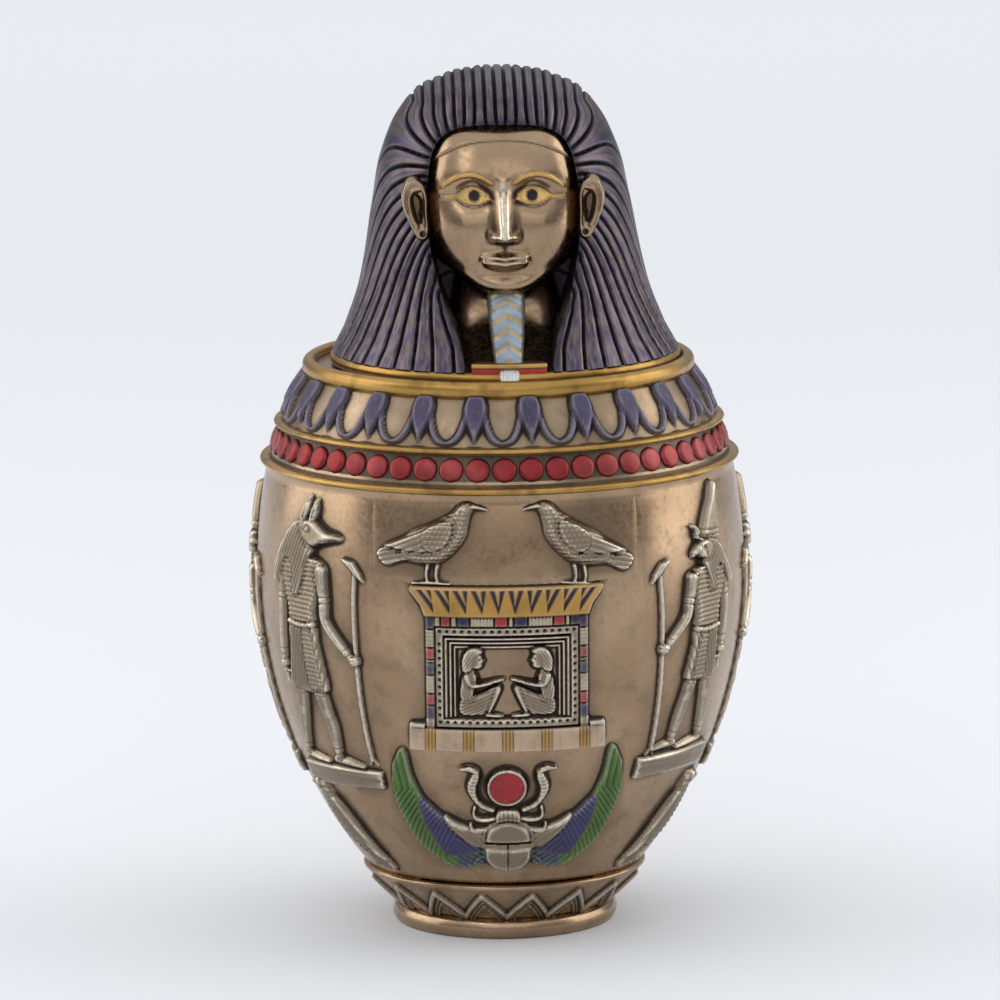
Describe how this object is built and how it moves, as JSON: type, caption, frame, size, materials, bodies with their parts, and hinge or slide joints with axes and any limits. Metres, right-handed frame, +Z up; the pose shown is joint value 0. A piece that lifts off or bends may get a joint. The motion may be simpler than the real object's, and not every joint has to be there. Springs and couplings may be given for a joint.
{
  "type": "canopic jar",
  "caption": "Hollow souvenir canopic jar with relief figures around its belly and a lift-off lid shaped as a head in a striped wig.",
  "frame": {"origin": "middle of the flat underside of the foot, in the middle of the part's box", "axes": "+Z up through the jar and its lid, -Y towards the face and the shrine relief, +X to the right of someone who looks at the face"},
  "size_m": [0.1464, 0.1463, 0.25],
  "materials": {
    "jar_bronze_resin": "cold-cast bronze resin, antiqued and polished, with gold, red, purple, green, navy and cream paint on the relief",
    "lid_bronze_resin": "cold-cast bronze resin, polished bronze face, purple metallic paint rubbed with bronze on the wig, pale blue beard"
  },
  "bodies": {
    "root": {"jar": "jar_bronze_resin", "lid": "lid_bronze_resin"}
  },
  "joints": []
}
